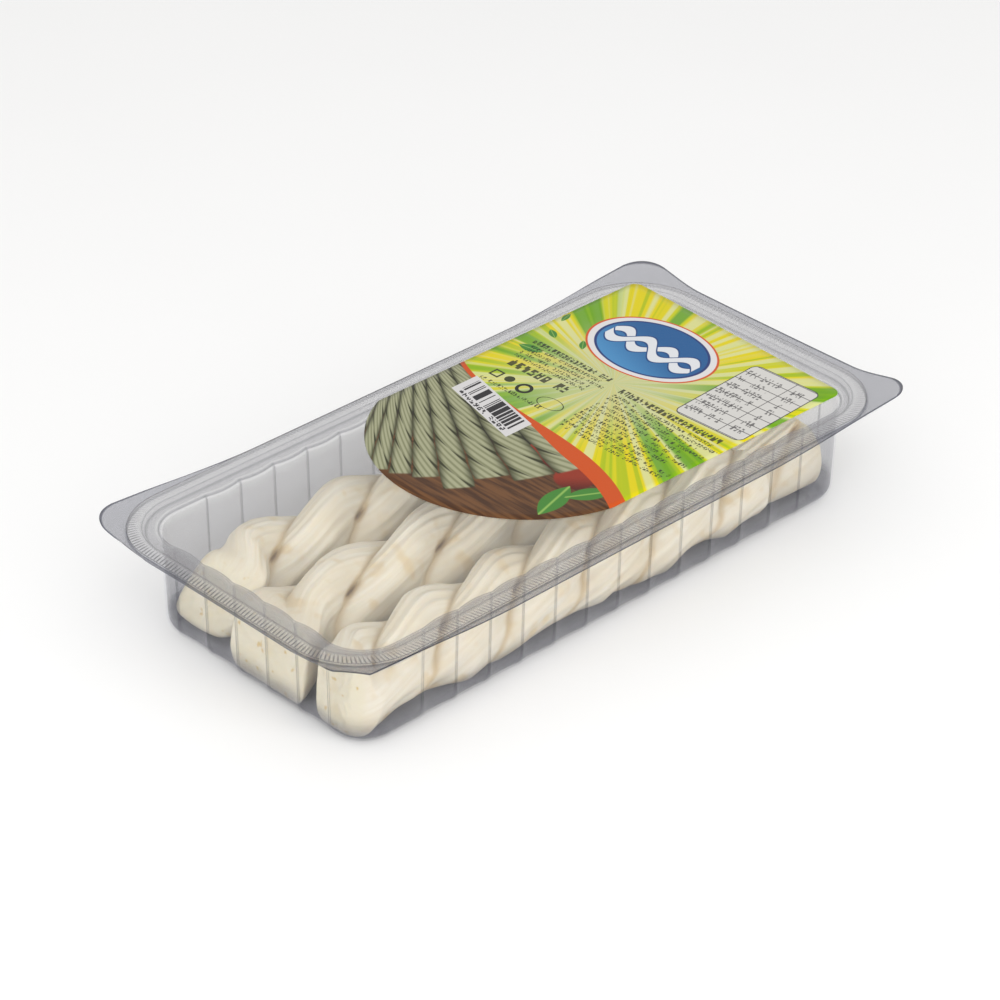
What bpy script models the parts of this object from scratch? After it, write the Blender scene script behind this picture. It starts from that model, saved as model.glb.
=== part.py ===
"""A sealed, clear tray pack of twisted string cheese.

Frame: metres, +Z up, origin under the middle of the pack on the surface it stands on.
+X runs along the pack, towards the end that the label covers. +Y runs across it.
The pack is a clear fluted tray with a raised seal ring and a flange, three two-strand
cheese ropes lying side by side in it, a flat clear film and a label stuck on the film.
"""

import bpy
import numpy as np
from math import pi

# Flange: the flat rim of the tray, whose four corners curl up.
FLANGE_LENGTH = 0.2000
FLANGE_WIDTH = 0.1000
FLANGE_CORNER = 0.0080
# The front left corner is cut straight: how far round it the sharp point lies, and how far
# that point lies in from the flange's -X and front edges.
CUT_CORNER = (5 / 6, 0.0045, 0.0001)
FLANGE_WAIST = 0.0004
FLANGE_TOP = 0.0300
EAR_LIFT = 0.0030
EAR_REACH_X = 0.055
EAR_REACH_Y = 0.022

# Seal ring: the raised band that the film is welded to.
RING_CENTRE = (-0.0016, 0.0004)
RING_LENGTH = 0.1952
RING_WIDTH = 0.0964
RING_CORNER = 0.020
RING_BAND = 0.0050
RING_SLOPE = 0.0004
RING_RISE = 0.0009

# Tray body: fluted walls under a narrow ledge.
BODY_CENTRE = (-0.0010, 0.0002)
BODY_LENGTH = 0.1780
BODY_WIDTH = 0.0812
BODY_CORNER = 0.0110
BODY_DRAFT = 0.0007
BOTTOM_FILLET = 0.0045
LEDGE_TOP = 0.0296
SHEET = 0.0005
FLUTE_PITCH = 0.01135
FLUTE_DEPTH = 0.0008
LONG_FLUTES = 12
SHORT_FLUTES = 5

# Film and label.
GAP = 0.0003
FILM_THICKNESS = 0.00015
LABEL_THICKNESS = 0.00015
LABEL_END_X = 0.0875
LABEL_FRONT_Y = -0.0355
LABEL_BACK_Y = 0.0440
LABEL_FRONT_SLOPE = -0.021
LABEL_BACK_SLOPE = -0.0105
LABEL_END_SLOPE = 0.049
LABEL_CORNER = 0.0030
LABEL_ARC_CENTRE = (0.0098, 0.0055)
LABEL_ARC_RADIUS = 0.0420

# Cheese ropes: two strands twisted together, left-handed, and pressed into the tray.
STRAND_OFFSET = 0.27
TOP_OFFSET = 0.05
ROPE_FILL = 1.06
LOW_FILL = 0.30
LOW_EVEN = 0.35
PRESS = 8.0
WALL_GAP = 0.0004
ROPE_FLOOR = 0.0008
END_LENGTH = 0.016
END_POWER = 5.0
END_ROUND = (0.0016, 0.08)
ROPE_SWELL = 0.04
ROPE_SWELL_LENGTH = 0.047
ROPE_SECTIONS = 32
ROPE_AROUND = 24
# name: centre y, half width, half height, x of a crevice on top, half twist, lean,
# (centre y, lowest z, half width, half height) of its -X end, ends along x, x where one
# strand of two stops short
ROPES = {
    "cheese_rope_back": (
        0.0257, 0.01235, 0.0115, -0.0559, 0.0292, 0.35,
        (0.0250, 0.0012, 0.0120, 0.0104), (-0.0812, 0.0790), None,
    ),
    "cheese_rope_middle": (
        0.0000, 0.01235, 0.0119, -0.0505, 0.0308, 0.70,
        (-0.0034, 0.0012, 0.0141, 0.0112), (-0.0875, 0.0795), None,
    ),
    "cheese_rope_front": (
        -0.0257, 0.01235, 0.0112, -0.0460, 0.0255, 0.49,
        (-0.0298, 0.0012, 0.0086, 0.0112), (-0.0874, 0.0780), 0.0578,
    ),
}

CORNER_STEPS = 6
FILM_CORNER_STEPS = 10
LABEL_ARC_STEPS = 24
SHARP_ANGLE = pi / 10


def clear_scene():
    """Remove every object, so that the model starts from nothing."""
    for old in list(bpy.data.objects):
        bpy.data.objects.remove(old, do_unlink=True)


def material(name, colour, roughness, transmission=0.0):
    """A Principled material for one kind of piece."""
    made = bpy.data.materials.new(name)
    made.use_nodes = True
    shader = made.node_tree.nodes["Principled BSDF"]
    shader.inputs["Base Color"].default_value = (*colour, 1.0)
    shader.inputs["Roughness"].default_value = roughness
    shader.inputs["Metallic"].default_value = 0.0
    shader.inputs["Transmission Weight"].default_value = transmission
    return made


def smoothstep(value):
    """0 below 0, 1 above 1, and a smooth S between."""
    held = np.clip(value, 0.0, 1.0)
    return held * held * (3.0 - 2.0 * held)


def mesh_object(name, points, faces, finish):
    """A smooth-shaded mesh object whose sharp edges stay sharp."""
    mesh = bpy.data.meshes.new(name)
    mesh.from_pydata([tuple(map(float, point)) for point in points], [], faces)
    mesh.validate()
    mesh.shade_smooth()
    mesh.set_sharp_from_angle(angle=SHARP_ANGLE)
    mesh.materials.append(finish)
    made = bpy.data.objects.new(name, mesh)
    bpy.context.scene.collection.objects.link(made)
    return made


def loft(name, rings, finish):
    """Join equal rings of points, one after the other, and close both ends flat.

    Each ring runs anticlockwise seen from the side that the last ring faces.
    """
    count = len(rings[0])
    faces = [tuple(range(count))[::-1]]
    for ring in range(len(rings) - 1):
        for here in range(count):
            there = (here + 1) % count
            low = ring * count
            high = low + count
            faces.append((low + here, low + there, high + there, high + here))
    last = (len(rings) - 1) * count
    faces.append(tuple(range(last, last + count)))
    return mesh_object(name, np.concatenate(rings), faces, finish)


def wall_stops(half_straight, flutes):
    """Places along one straight wall, from -1 to 1, and how far in each place is fluted.

    Each flute is a shallow arc that bulges inwards between two sharp creases,
    held here by its creases and two points between them.
    """
    edge = flutes * FLUTE_PITCH / 2
    steps = 3 * flutes
    along = np.linspace(-edge, edge, steps + 1)
    phase = np.arange(steps + 1) % 3 / 3
    inset = 1.0 - (2.0 * phase - 1.0) ** 2
    ends = np.array([half_straight])
    along = np.concatenate([-ends, along, ends]) / half_straight
    inset = np.concatenate([[0.0], inset, [0.0]])
    return along, inset


def stations(long_stops, short_stops, corner_steps):
    """Run once round a rounded rectangle, anticlockwise from the front of the +X side.

    A station holds the share of the straight half-lengths that it lies at, its
    outward direction and its share of the flute depth.
    """
    rows = []
    sides = (
        (0.0, short_stops, lambda t: (1.0, t)),
        (pi / 2, long_stops, lambda t: (-t, 1.0)),
        (pi, short_stops, lambda t: (-1.0, -t)),
        (3 * pi / 2, long_stops, lambda t: (t, -1.0)),
    )
    for angle, (along, inset), place in sides:
        for t, share in zip(along, inset):
            rows.append((*place(t), np.cos(angle), np.sin(angle), share))
        corner = place(1.0)
        for step in range(1, corner_steps):
            turned = angle + pi / 2 * step / corner_steps
            rows.append((*corner, np.cos(turned), np.sin(turned), 0.0))
    return np.array(rows)


def outline(track, length, width, corner, centre, inward=0.0):
    """The track's points on one rounded rectangle; inward moves them along their normals."""
    keep_x = length / 2 - corner
    keep_y = width / 2 - corner
    x = centre[0] + track[:, 0] * keep_x + track[:, 2] * (corner - inward)
    y = centre[1] + track[:, 1] * keep_y + track[:, 3] * (corner - inward)
    return x, y


def ring_at(flat, z):
    """A ring of points from flat (x, y) arrays and a height or an array of heights."""
    x, y = flat
    return np.stack([x, y, np.broadcast_to(z, x.shape)], axis=1)


def flange_edge(track):
    """The flange's outer edge: waisted along its sides, with curled-up corners.

    The front left corner has a straight cut and a sharp point instead of a round.
    """
    waist = FLANGE_WAIST * (1.0 - (track[:, 0] * track[:, 1]) ** 2)
    x, y = outline(track, FLANGE_LENGTH, FLANGE_WIDTH, FLANGE_CORNER, (0.0, 0.0), waist)
    share, point_x, point_y = CUT_CORNER
    turned = np.arctan2(-track[:, 3], -track[:, 2]) / (pi / 2)
    cut = (track[:, 2] < -1e-9) & (track[:, 3] < -1e-9)
    cut_x = np.interp(turned, [0.0, share, 1.0], [0.0, point_x, FLANGE_CORNER])
    cut_y = np.interp(turned, [0.0, share, 1.0], [FLANGE_CORNER, point_y, 0.0])
    x = np.where(cut, cut_x - FLANGE_LENGTH / 2, x)
    y = np.where(cut, cut_y - FLANGE_WIDTH / 2, y)
    lift_x = smoothstep((np.abs(x) - FLANGE_LENGTH / 2 + EAR_REACH_X) / EAR_REACH_X)
    lift_y = smoothstep((np.abs(y) - FLANGE_WIDTH / 2 + EAR_REACH_Y) / EAR_REACH_Y)
    return (x, y), EAR_LIFT * lift_x * lift_y


def seal_ring(track, inward):
    """A line of the seal ring, a distance inside its outer foot."""
    return outline(track, RING_LENGTH, RING_WIDTH, RING_CORNER, RING_CENTRE, inward)


def body_wall(track, height, inward, fluted=1.0):
    """The tray wall's outline at a height, drafted inwards towards the floor."""
    draft = BODY_DRAFT * (1.0 - height / LEDGE_TOP)
    depth = track[:, 4] * FLUTE_DEPTH * fluted
    return outline(track, BODY_LENGTH, BODY_WIDTH, BODY_CORNER, BODY_CENTRE, draft + inward + depth)


def fillet_rings(track, base, inward):
    """Rings round the rounded bottom edge, from the floor up; the flutes fade out in it."""
    radius = BOTTOM_FILLET - inward
    rings = []
    for step in range(4):
        angle = pi / 2 * step / 3
        z = base + radius * (1.0 - np.cos(angle))
        shift = radius * (1.0 - np.sin(angle))
        rings.append(ring_at(body_wall(track, z, inward + shift, step / 3), z))
    return rings


def build_tray(finish):
    """The clear tray as one closed sheet: underside first, then the flange and the inside."""
    half_long = BODY_LENGTH / 2 - BODY_CORNER
    half_short = BODY_WIDTH / 2 - BODY_CORNER
    long_stops = wall_stops(half_long, LONG_FLUTES)
    short_stops = wall_stops(half_short, SHORT_FLUTES)
    track = stations(long_stops, short_stops, CORNER_STEPS)
    edge, lift = flange_edge(track)
    ring_top = FLANGE_TOP + RING_RISE
    under = fillet_rings(track, 0.0, 0.0)
    under.append(ring_at(body_wall(track, LEDGE_TOP, 0.0), LEDGE_TOP - SHEET))
    under.append(ring_at(seal_ring(track, 0.0), FLANGE_TOP - SHEET))
    under.append(ring_at(edge, FLANGE_TOP - SHEET + lift))
    over = [
        ring_at(edge, FLANGE_TOP + lift),
        ring_at(seal_ring(track, 0.0), FLANGE_TOP),
        ring_at(seal_ring(track, RING_SLOPE), ring_top),
        ring_at(seal_ring(track, RING_BAND - RING_SLOPE), ring_top),
        ring_at(seal_ring(track, RING_BAND), LEDGE_TOP),
        ring_at(body_wall(track, LEDGE_TOP, SHEET), LEDGE_TOP),
    ]
    inside = fillet_rings(track, SHEET, SHEET)[::-1]
    return loft("tray", under + over + inside, finish)


def build_film(finish):
    """The lid film: a flat sheet over the whole seal ring, trimmed at its outer foot."""
    ends = np.array([-1.0, 1.0])
    stops = (ends, np.zeros_like(ends))
    edge = seal_ring(stations(stops, stops, FILM_CORNER_STEPS), 0.0)
    base = FLANGE_TOP + RING_RISE + GAP
    rings = [ring_at(edge, base), ring_at(edge, base + FILM_THICKNESS)]
    return loft("lid_film", rings, finish)


def label_outline():
    """The label's edge, anticlockwise: two round corners at +X and one big arc at -X.

    Its straight edges and its +X end are a little out of square with the tray.
    """
    x, y = LABEL_ARC_CENTRE
    radius = LABEL_ARC_RADIUS
    start = pi - np.arcsin((LABEL_BACK_Y - y) / radius)
    stop = pi - np.arcsin((LABEL_FRONT_Y - y) / radius)
    turn = np.linspace(start, stop, LABEL_ARC_STEPS + 1)
    arc = np.stack([x + radius * np.cos(turn), y + radius * np.sin(turn)], axis=1)
    bend = np.linspace(0.0, pi / 2, CORNER_STEPS)
    keep_x = LABEL_END_X - LABEL_CORNER
    front = np.stack(
        [keep_x + LABEL_CORNER * np.sin(bend), LABEL_FRONT_Y + LABEL_CORNER * (1 - np.cos(bend))],
        axis=1,
    )
    back = np.stack(
        [keep_x + LABEL_CORNER * np.cos(bend), LABEL_BACK_Y - LABEL_CORNER * (1 - np.sin(bend))],
        axis=1,
    )
    edge = np.concatenate([arc, front, back])
    along = np.maximum(edge[:, 0] - x, 0.0)
    share = (LABEL_BACK_Y - edge[:, 1]) / (LABEL_BACK_Y - LABEL_FRONT_Y)
    slope = LABEL_BACK_SLOPE + (LABEL_FRONT_SLOPE - LABEL_BACK_SLOPE) * share
    shift_x = LABEL_END_SLOPE * edge[:, 1] * along / (LABEL_END_X - x)
    return edge + np.stack([shift_x, slope * along], axis=1)


def build_label(finish):
    """The printed label, a flat sheet on the film."""
    x, y = label_outline().T
    base = FLANGE_TOP + RING_RISE + 2 * GAP + FILM_THICKNESS
    rings = [ring_at((x, y), base), ring_at((x, y), base + LABEL_THICKNESS)]
    return loft("label", rings, finish)


def lean_back(turned, lean):
    """Solve turned = angle + lean * sin(angle), which slants the twist on top of a rope."""
    table = np.linspace(-pi, pi, 721)
    whole = 2 * pi * np.round(turned / (2 * pi))
    return np.interp(turned - whole, table + lean * np.sin(table), table)


def strand_reach(angle, offset):
    """The distance to the outline of two overlapping circles, each 1 - offset in radius."""
    along = offset * np.cos(angle)
    return np.abs(along) + np.sqrt((1.0 - offset) ** 2 - (offset * np.sin(angle)) ** 2)


def pressed(value):
    """Hold a share within about 1, as x over the eighth root of 1 + x to the eighth."""
    return 1.04 * value / (1.0 + np.abs(value) ** PRESS) ** (1.0 / PRESS)


def keep_in_tray(points):
    """Push points that stand out of the tray's inner face back to a small gap inside it.

    The inner face is a rounded rectangle in plan, drawn in by the wall's draft and, near
    the floor, by the rounded bottom edge.
    """
    x, y, z = points.T
    half = np.array([BODY_LENGTH / 2, BODY_WIDTH / 2]) - BODY_CORNER
    out_x = np.abs(x - BODY_CENTRE[0]) - half[0]
    out_y = np.abs(y - BODY_CENTRE[1]) - half[1]
    beyond_x = np.maximum(out_x, 0.0)
    beyond_y = np.maximum(out_y, 0.0)
    beyond = np.hypot(beyond_x, beyond_y)
    radius = BOTTOM_FILLET - SHEET
    below = np.clip((BOTTOM_FILLET - z) / radius, 0.0, 1.0)
    inward = BODY_DRAFT * (1.0 - z / LEDGE_TOP) + SHEET + WALL_GAP
    inward += FLUTE_DEPTH + (radius + 0.0002) * (1.0 - np.sqrt(1.0 - below**2))
    room = np.maximum(BODY_CORNER - inward, 1e-6)
    scale = np.minimum(room / np.maximum(beyond, 1e-9), 1.0)
    new_x = BODY_CENTRE[0] + np.sign(x - BODY_CENTRE[0]) * (half[0] + beyond_x * scale)
    new_y = BODY_CENTRE[1] + np.sign(y - BODY_CENTRE[1]) * (half[1] + beyond_y * scale)
    x = np.where(out_x > 0.0, new_x, x)
    y = np.where(out_y > 0.0, new_y, y)
    return np.stack([x, y, z], axis=1)


def build_rope(name, sizes, finish):
    """A two-strand cheese rope along X, pressed into the tray.

    Its section is the outline of two overlapping circles, each a strand. It turns half a
    turn in each half twist, and leans so that the crevices run more along the rope on its
    top. Low down it is fuller and squarer, pressed against the floor and its neighbours.
    Towards -X it passes over into a rounded block, whose cut end stands at the wall.
    """
    centre_y, half_width, half_height, crevice_x, half_twist, lean, end, ends, stop = sizes
    start_x, end_x = ends
    end_y, end_low, end_half_width, end_half_height = end
    rim, inset = END_ROUND
    turn = np.linspace(0.0, pi / 2, 3)
    cap_x = np.concatenate([[0.0], rim * (1.0 - np.cos(turn))])
    cap_share = np.concatenate([[0.5], 1.0 - inset * (1.0 - np.sin(turn))])
    inner = np.linspace(start_x + rim, end_x - rim, ROPE_SECTIONS)[1:-1]
    places = np.concatenate([start_x + cap_x, inner, end_x - cap_x[::-1]])
    shares = np.concatenate([cap_share, np.ones(inner.size), cap_share[::-1]])
    angle = (np.arange(ROPE_AROUND) + 0.5) * 2 * pi / ROPE_AROUND
    rings = []
    for x, share in zip(places, shares):
        spin = pi * (x - crevice_x) / half_twist
        place = lean_back(angle - pi / 2 + spin, lean)
        reach = strand_reach(angle, STRAND_OFFSET + TOP_OFFSET * np.cos(place))
        if stop is not None:
            alone = np.sqrt(0.66**2 - (0.14 * np.sin(angle)) ** 2) - 0.14 * np.cos(angle)
            reach = reach + (alone - reach) * smoothstep((x - stop) / 0.0008)
        swell = np.sin(2 * pi * (x - crevice_x) / ROPE_SWELL_LENGTH)
        reach = reach * ROPE_FILL * (1.0 - ROPE_SWELL * (1.0 + swell) / 2)
        low = smoothstep((np.abs(place) - pi / 3) / (pi / 3))
        reach = (reach + (1.0 - reach) * LOW_EVEN * low) * (1.0 + LOW_FILL * low)
        y = pressed(reach * np.sin(place)) * half_width
        z = reach * np.cos(place)
        z = np.where(z < 0.0, pressed(z), z) * half_height
        near = smoothstep(1.0 - (x - start_x) / END_LENGTH)
        block = np.abs(np.sin(place)) ** END_POWER + np.abs(np.cos(place)) ** END_POWER
        block = block ** (-1.0 / END_POWER)
        y = y + (block * np.sin(place) * end_half_width - y) * near * 0.95
        z = z + (block * np.cos(place) * end_half_height - z) * near * 0.95
        rest = ROPE_FLOOR + half_height
        y = centre_y + (end_y - centre_y) * near + y * share
        z = rest + (end_low + end_half_height - rest) * near + z * share
        ring = np.stack([np.full_like(y, x), y, np.maximum(z, ROPE_FLOOR)], axis=1)
        rings.append(keep_in_tray(ring)[::-1])
    return loft(name, rings, finish)


def build_pack():
    """Make every piece of the pack."""
    clear_scene()
    clear_plastic = material("clear_tray_plastic", (0.86, 0.87, 0.90), 0.08, 0.9)
    clear_film = material("clear_lid_film", (0.92, 0.92, 0.94), 0.05, 0.95)
    label_paper = material("label_print", (0.78, 0.75, 0.12), 0.35)
    cheese = material("string_cheese", (0.80, 0.72, 0.55), 0.45)
    build_tray(clear_plastic)
    for name, sizes in ROPES.items():
        build_rope(name, sizes, cheese)
    build_film(clear_film)
    build_label(label_paper)


build_pack()
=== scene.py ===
"""The looks of a clear tray pack of twisted string cheese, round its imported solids.

Frame: metres, +Z up, origin under the middle of the pack on the surface it stands on.
+X runs along the pack, towards the end that the label covers. +Y runs across it.
Every new piece is a surface worked out as whole numpy arrays, with its place in its mesh.
"""

from math import cos, pi, radians, sin

import bpy
import numpy as np
from mathutils import Matrix, Vector


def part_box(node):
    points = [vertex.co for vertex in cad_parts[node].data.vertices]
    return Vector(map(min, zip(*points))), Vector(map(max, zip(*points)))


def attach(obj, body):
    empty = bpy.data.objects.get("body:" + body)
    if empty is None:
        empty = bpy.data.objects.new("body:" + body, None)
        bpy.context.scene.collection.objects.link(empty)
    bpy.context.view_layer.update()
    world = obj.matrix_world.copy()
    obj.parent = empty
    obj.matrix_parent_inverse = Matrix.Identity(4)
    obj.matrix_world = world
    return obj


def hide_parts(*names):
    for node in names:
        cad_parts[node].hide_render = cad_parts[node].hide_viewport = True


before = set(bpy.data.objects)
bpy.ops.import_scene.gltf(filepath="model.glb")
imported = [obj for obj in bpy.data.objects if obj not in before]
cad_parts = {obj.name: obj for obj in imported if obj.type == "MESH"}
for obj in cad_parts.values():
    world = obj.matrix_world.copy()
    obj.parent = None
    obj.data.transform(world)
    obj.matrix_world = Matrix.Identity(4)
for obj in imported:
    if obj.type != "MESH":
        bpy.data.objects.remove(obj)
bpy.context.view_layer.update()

MM = 0.001

# Tray, as the solids have it.
TRAY_LOW, TRAY_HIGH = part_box("tray")
FLANGE_LENGTH = TRAY_HIGH.x - TRAY_LOW.x
FLANGE_WIDTH = TRAY_HIGH.y - TRAY_LOW.y
FLANGE_CORNER = 8.0 * MM
# The front left corner is cut straight: how far round it the sharp point lies, and its place.
CUT_CORNER = (5 / 6, 4.5 * MM, 0.1 * MM)
FLANGE_WAIST = 0.4 * MM
EAR_LIFT = 3.0 * MM
FLANGE_TOP = TRAY_HIGH.z - EAR_LIFT
EAR_REACH_X = 55.0 * MM
EAR_REACH_Y = 22.0 * MM
RING_CENTRE = (-1.6 * MM, 0.4 * MM)
RING_LENGTH = 195.2 * MM
RING_WIDTH = 96.4 * MM
RING_CORNER = 20.0 * MM
RING_BAND = 5.0 * MM
# The real film and label are welded and stuck on, so they lie lower than their solids.
RING_RISE = 0.45 * MM
FILM_DROP = 0.55 * MM
RING_SLOPE = 1.1 * MM
BODY_CENTRE = (-1.0 * MM, 0.2 * MM)
BODY_LENGTH = 178.0 * MM
BODY_WIDTH = 81.2 * MM
BODY_CORNER = 11.0 * MM
BODY_DRAFT = 0.7 * MM
BOTTOM_FILLET = 4.5 * MM
SHOULDER = 1.3 * MM
LEDGE_TOP = 29.6 * MM
SHEET = 0.5 * MM
RIM_SHEET = 0.3 * MM
LABEL_END_X = 87.5 * MM
LABEL_FRONT_Y = -35.5 * MM
LABEL_BACK_Y = 44.0 * MM
LABEL_SLOPES = (-0.021, -0.0105, 0.049)
LABEL_CORNER = 3.0 * MM
LABEL_ARC = (9.8 * MM, 5.5 * MM, 42.0 * MM)
FLUTE_PITCH = 11.35 * MM
FLUTE_DEPTH = 0.8 * MM
LONG_FLUTES = 12
SHORT_FLUTES = 5
CREASE_WIDTH = 0.16 * MM

# Seal pattern pressed into the film's band.
HATCH_PITCH = 1.14 * MM
HATCH_SLANT = 0.26
HATCH_WIDTH = 3.4 * MM
HATCH_DEPTH = 0.015 * MM
HATCH_STEPS = 5

# Cheese ropes: two strands twisted together, left-handed, and pressed into the tray.
STRAND_OFFSET = 0.27
TOP_OFFSET = 0.05
ROPE_FILL = 1.06
LOW_FILL = 0.30
LOW_EVEN = 0.35
PRESS = 8.0
WALL_GAP = 0.4 * MM
ROPE_SWELL = 0.04
ROPE_SWELL_LENGTH = 47.0 * MM
ROPE_FLOOR = 0.8 * MM
END_LENGTH = 16.0 * MM
END_POWER = 5.0
END_ROUND = (1.6 * MM, 0.08)
# node: centre y, half width, half height, x of a crevice on top, half twist, lean,
# (centre y, lowest z, half width, half height) of its -X end, x where one strand stops, seed
ROPES = {
    "cheese_rope_back": (25.7, 12.35, 11.5, -55.9, 29.2, 0.35, (24.8, 1.2, 12.0, 10.4), None, 3),
    "cheese_rope_middle": (0.0, 12.35, 11.9, -50.5, 30.8, 0.70, (-3.4, 1.2, 14.1, 11.2), None, 5),
    "cheese_rope_front": (-25.7, 12.35, 11.2, -46.0, 25.5, 0.49, (-29.8, 1.2, 8.6, 11.2), 57.8, 8),
}
# node: lean of the block at its -X end, as mm of x and of y for each mm above its middle
END_LEAN = {
    "cheese_rope_back": (0.42, -0.40),
    "cheese_rope_middle": (0.20, 0.0),
    "cheese_rope_front": (0.06, 0.0),
}
# places along a rope in mm, and how round its underside is there: 0 squarish, 1 an ellipse
LOW_ROUND = (
    (-72, -62, -56, -50, -38, -30, -20, -10, -3, 3, 9, 21, 28, 33, 38, 44, 50, 58),
    (1.1, 1.25, 0.8, 0.35, 0.45, 0.8, 1.1, 1.1, 0.7, 0.95, 0.5, 0.5, 0.9, 1.2, 1.1, 0.6, 1.0, 0.9),
)
ROPE_SECTIONS = 310
ROPE_AROUND = 250
CUT_RINGS = 14


def srgb(red, green, blue):
    """The linear colour of three sRGB values from 0 to 255."""
    share = np.array([red, green, blue]) / 255.0
    linear = np.where(share <= 0.04045, share / 12.92, ((share + 0.055) / 1.055) ** 2.4)
    return (*map(float, linear), 1.0)


# ---------------------------------------------------------------- shader maths


class Num:
    """A socket that carries a number or a vector; an operator on it adds a Math node."""

    def __init__(self, finish, socket):
        self.finish = finish
        self.socket = socket

    def maths(self, operation, *others):
        values = dict(enumerate([self, *others]))
        return self.finish.node("ShaderNodeMath", {"operation": operation}, values)

    def __add__(self, other):
        return self.maths("ADD", other)

    __radd__ = __add__

    def __mul__(self, other):
        return self.maths("MULTIPLY", other)

    __rmul__ = __mul__

    def __sub__(self, other):
        return self.maths("SUBTRACT", other)

    def __rsub__(self, other):
        return (self * -1.0) + other

    def __truediv__(self, other):
        return self.maths("DIVIDE", other)

    def __pow__(self, other):
        return self.maths("POWER", other)

    def __abs__(self):
        return self.maths("ABSOLUTE")

    def floor(self):
        return self.maths("FLOOR")

    def fract(self):
        return self.maths("FRACT")

    def sin(self):
        return self.maths("SINE")

    def root(self):
        return self.maths("SQRT")

    def least(self, other):
        return self.maths("MINIMUM", other)

    def most(self, other):
        return self.maths("MAXIMUM", other)

    def over(self, limit, soft=0.0):
        """1 where this is above limit, 0 below, with a smooth change soft wide on each side."""
        if soft == 0.0:
            return self.maths("GREATER_THAN", limit)
        settings = {"interpolation_type": "SMOOTHSTEP"}
        ends = {"Value": self, "From Min": limit - soft, "From Max": limit + soft}
        return self.finish.node("ShaderNodeMapRange", settings, ends)

    def under(self, limit, soft=0.0):
        """1 where this is below limit, 0 above."""
        return 1.0 - self.over(limit, soft)

    def within(self, low, high, soft=0.0):
        """1 between two limits, 0 outside them."""
        return self.over(low, soft) * self.under(high, soft)


class Finish:
    """One material: its node tree, and one method that adds a node to it."""

    def __init__(self, name):
        self.material = bpy.data.materials.new(name)
        self.material.use_nodes = True
        self.tree = self.material.node_tree
        self.tree.nodes.clear()
        self.places = {}

    def node(self, kind, settings, values, output=0):
        """Add a node, set its settings first and its inputs next, and return one output."""
        made = self.tree.nodes.new(kind)
        for name, setting in settings.items():
            if name == "stops":
                self.set_stops(made.color_ramp, setting)
            else:
                setattr(made, name, setting)
        for name, value in values.items():
            if isinstance(value, Num):
                self.tree.links.new(value.socket, made.inputs[name])
            else:
                made.inputs[name].default_value = value
        return Num(self, made.outputs[output])

    @staticmethod
    def set_stops(ramp, stops):
        """Give a colour ramp its (place, colour) stops."""
        while len(ramp.elements) < len(stops):
            ramp.elements.new(1.0)
        for element, (place, colour) in zip(ramp.elements, stops):
            element.position = place
            element.color = colour

    def object_place(self):
        """Object coordinates in millimetres, as x, y and z."""
        if "object" not in self.places:
            place = self.node("ShaderNodeTexCoord", {}, {}, "Object")
            scaled = self.node(
                "ShaderNodeVectorMath", {"operation": "SCALE"}, {0: place, "Scale": 1.0 / MM}
            )
            self.places["object"] = (scaled, *self.parts(scaled))
        return self.places["object"]

    def parts(self, vector):
        """The x, y and z of a vector."""
        made = self.node("ShaderNodeSeparateXYZ", {}, {"Vector": vector})
        outputs = made.socket.node.outputs
        return tuple(Num(self, outputs[axis]) for axis in range(3))

    def vector(self, x, y, z=0.0):
        return self.node("ShaderNodeCombineXYZ", {}, {"X": x, "Y": y, "Z": z})

    def attribute(self, name, output="Fac"):
        return self.node("ShaderNodeAttribute", {"attribute_name": name}, {}, output)

    def noise(self, vector, scale, detail=2.0, roughness=0.5):
        values = {"Vector": vector, "Scale": scale, "Detail": detail, "Roughness": roughness}
        return self.node("ShaderNodeTexNoise", {}, values)

    def chance(self, x, y):
        """A random number from 0 to 1 for each pair of whole numbers."""
        pair = self.vector(x + 0.5, y + 0.5)
        return self.node("ShaderNodeTexWhiteNoise", {"noise_dimensions": "2D"}, {"Vector": pair})

    def blend(self, share, below, above):
        """A colour that goes from below to above as share goes from 0 to 1."""
        made = self.node("ShaderNodeMix", {"data_type": "RGBA"}, {0: share}, 2)
        for index, colour in ((6, below), (7, above)):
            socket = made.socket.node.inputs[index]
            if isinstance(colour, Num):
                self.tree.links.new(colour.socket, socket)
            else:
                socket.default_value = colour
        return made

    def principled(self, **values):
        named = {key.replace("_", " ").title(): value for key, value in values.items()}
        if "Ior" in named:
            named["IOR"] = named.pop("Ior")
        return self.node("ShaderNodeBsdfPrincipled", {}, named)

    def mix_shader(self, share, first, second):
        made = self.node("ShaderNodeMixShader", {}, {0: share})
        for index, shader in ((1, first), (2, second)):
            self.tree.links.new(shader.socket, made.socket.node.inputs[index])
        return made

    def bump(self, height, strength, distance):
        values = {"Height": height, "Strength": strength, "Distance": distance}
        return self.node("ShaderNodeBump", {}, values)

    def finished(self, shader):
        """Link the shader to the surface, and return the material."""
        output = self.tree.nodes.new("ShaderNodeOutputMaterial")
        self.tree.links.new(shader.socket, output.inputs["Surface"])
        return self.material


# ------------------------------------------------------------------- materials


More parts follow.
